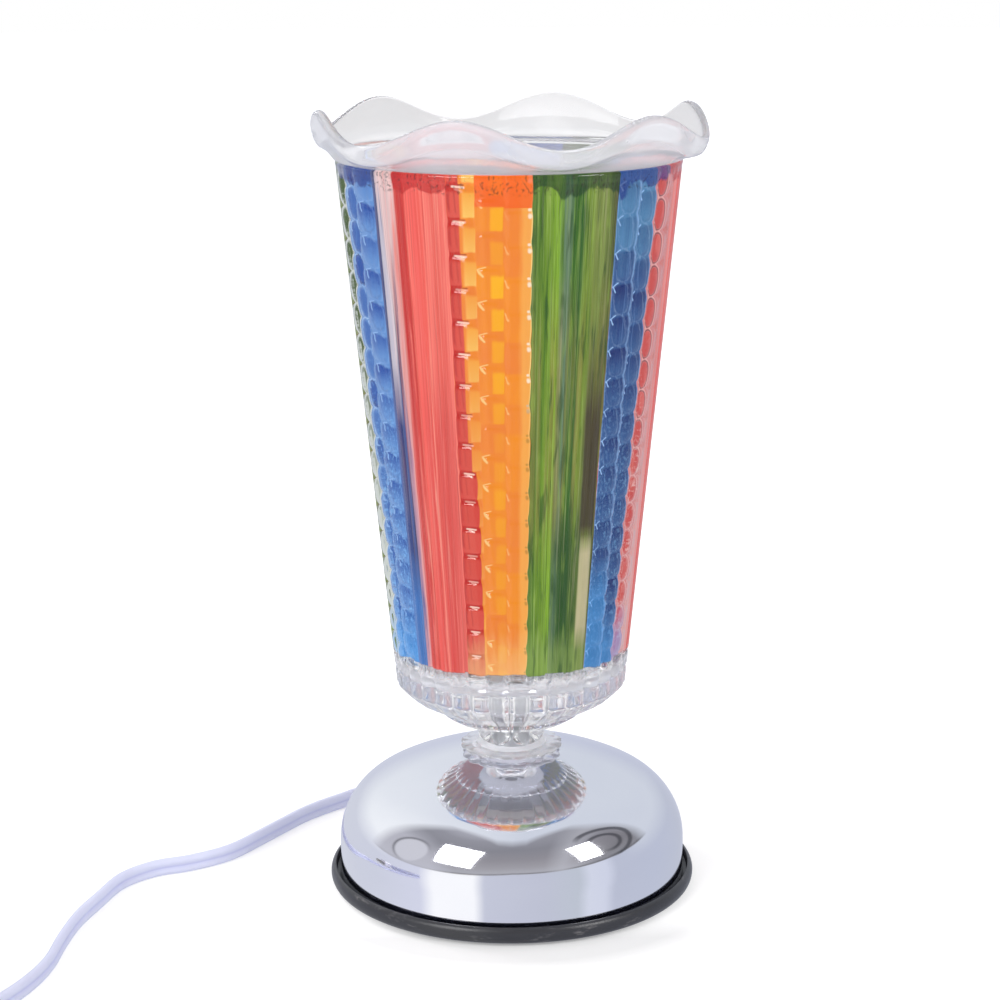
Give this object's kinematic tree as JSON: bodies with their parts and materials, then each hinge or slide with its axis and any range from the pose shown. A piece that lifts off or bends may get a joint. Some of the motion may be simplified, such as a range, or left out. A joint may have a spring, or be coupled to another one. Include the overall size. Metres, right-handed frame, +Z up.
{
  "type": "oil warmer lamp",
  "caption": "Touch lamp that warms scented oil: ruffled glass dish on a tall painted glass shade over a reflector bulb, clamped to a domed chrome base with a lead at the back.",
  "frame": {"origin": "centre of the footprint at the table, without the cord", "axes": "+Z up along the axis of the shade, front towards -Y, +X to the right seen from the front"},
  "size_m": [0.2879, 0.2427, 0.2455],
  "materials": {
    "clear_glass": "clear pressed glass",
    "painted_glass": "pressed glass painted inside in red, orange, green and blue panels",
    "chrome": "mirror chrome",
    "black_plastic": "matt black",
    "rubber": "matt",
    "clear_rubber": "translucent",
    "brass": "plain",
    "steel": "zinc plated",
    "ceramic": "unglazed white ceramic",
    "reflector_glass": "coated reflector glass",
    "board": "circuit board",
    "tape": "foam tape",
    "wire": "insulated wire",
    "cord_plastic": "translucent lead sheath"
  },
  "bodies": {
    "base": {"glass_shade": "painted_glass", "base_dome": "chrome", "base_tray": "black_plastic", "foot_pads": "rubber", "cover_screws": "steel", "dome_brackets": "steel", "threaded_tube": "brass", "dome_nut": "brass", "spring_washer": "steel", "shade_gasket": "clear_rubber", "shade_seal": "rubber", "clamp_washer": "steel", "clamp_nut": "brass", "holder_plate": "steel", "holder_nut": "brass", "lampholder": "ceramic", "holder_screws": "steel", "holder_contacts": "brass", "holder_leads": "wire", "module_case": "black_plastic", "module_lid": "black_plastic", "touch_board": "board", "module_tape": "tape", "touch_lead": "wire", "supply_tails": "wire", "cord_bush": "cord_plastic", "cord_lead": "cord_plastic", "cord_coil": "cord_plastic", "cord_tie": "rubber", "plug_body": "cord_plastic", "plug_blades": "brass"},
    "dish": {"oil_dish": "clear_glass"},
    "bulb": {"bulb_cap": "ceramic", "bulb_pins": "steel", "bulb_reflector": "reflector_glass", "bulb_capsule": "clear_glass", "bulb_lens": "clear_glass"}
  },
  "joints": [
    {"name": "dish_lift", "type": "slide", "parent": "base", "child": "dish", "axis": [0, 0, 1], "range_m": [0, 0.05]},
    {"name": "bulb_twist", "type": "hinge", "parent": "base", "child": "bulb", "pos_m": [0, 0, 0.11], "axis": [0, 0, 1], "range_deg": [0, 25]}
  ]
}
